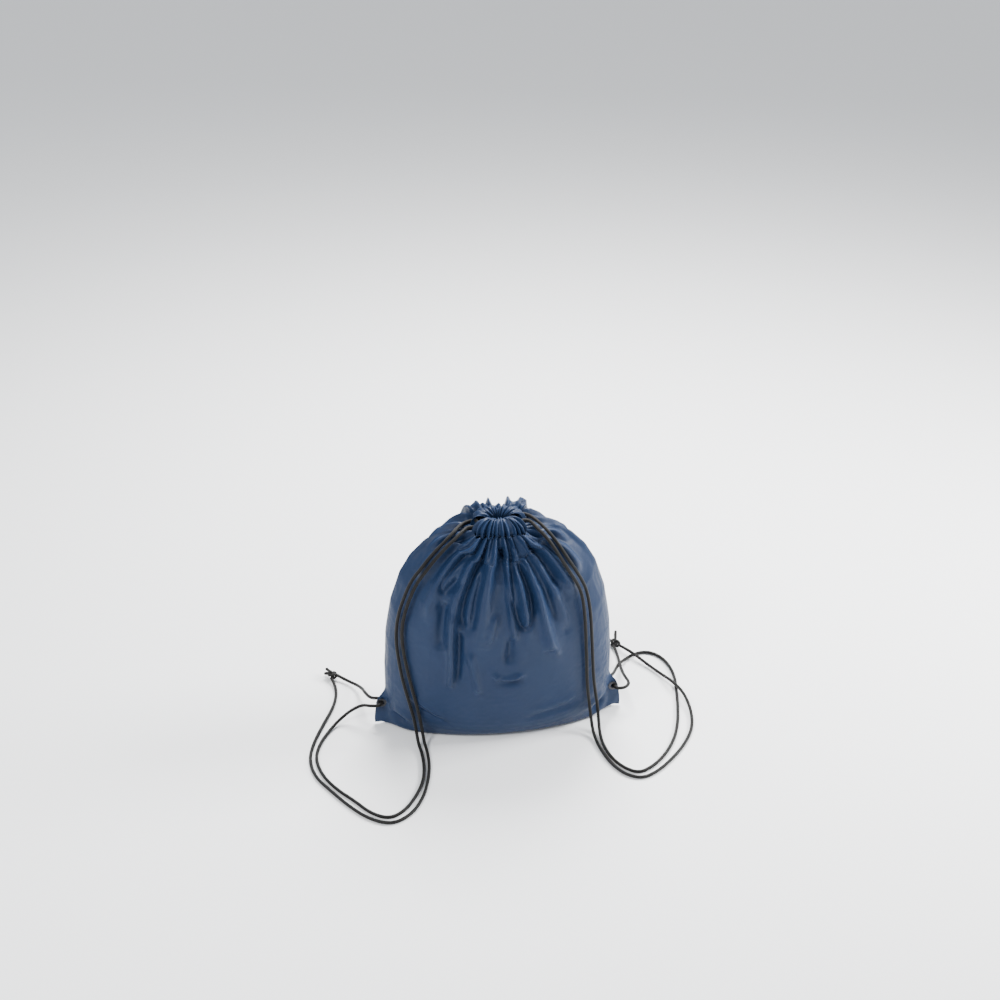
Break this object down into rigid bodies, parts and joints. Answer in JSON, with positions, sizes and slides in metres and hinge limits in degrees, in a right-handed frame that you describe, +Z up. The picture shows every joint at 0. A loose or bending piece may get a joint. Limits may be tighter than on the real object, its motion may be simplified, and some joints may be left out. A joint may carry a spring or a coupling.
{
  "type": "drawstring backpack",
  "caption": "Soft cloth drawstring sack worn as a backpack, filled and drawn shut, with long cord loops knotted at eyelets in its bottom corners.",
  "frame": {"origin": "centre of the sack's base on the ground, leaving out the loose cords", "axes": "+X to the sack's right along the bottom seam, -Y out of its front, +Z up through the mouth"},
  "size_m": [0.5222, 0.3659, 0.316],
  "materials": {
    "navy_cloth": "satin woven polyester",
    "black_cord": "braided",
    "eyelet_metal": "black nickel plated"
  },
  "bodies": {
    "root": {"front_panel": "navy_cloth", "back_panel": "navy_cloth", "front_cord_channel": "navy_cloth", "back_cord_channel": "navy_cloth", "left_side_seam": "navy_cloth", "right_side_seam": "navy_cloth", "bottom_seam": "navy_cloth", "left_corner_eyelet": "eyelet_metal", "right_corner_eyelet": "eyelet_metal", "left_eyelet_washer": "eyelet_metal", "right_eyelet_washer": "eyelet_metal", "left_front_strand": "black_cord", "left_back_strand": "black_cord", "right_front_strand": "black_cord", "right_back_strand": "black_cord", "left_cord_channel_run": "black_cord", "right_cord_channel_run": "black_cord", "left_cord_knot": "black_cord", "right_cord_knot": "black_cord", "left_cord_tails": "black_cord", "right_cord_tails": "black_cord"}
  },
  "joints": []
}
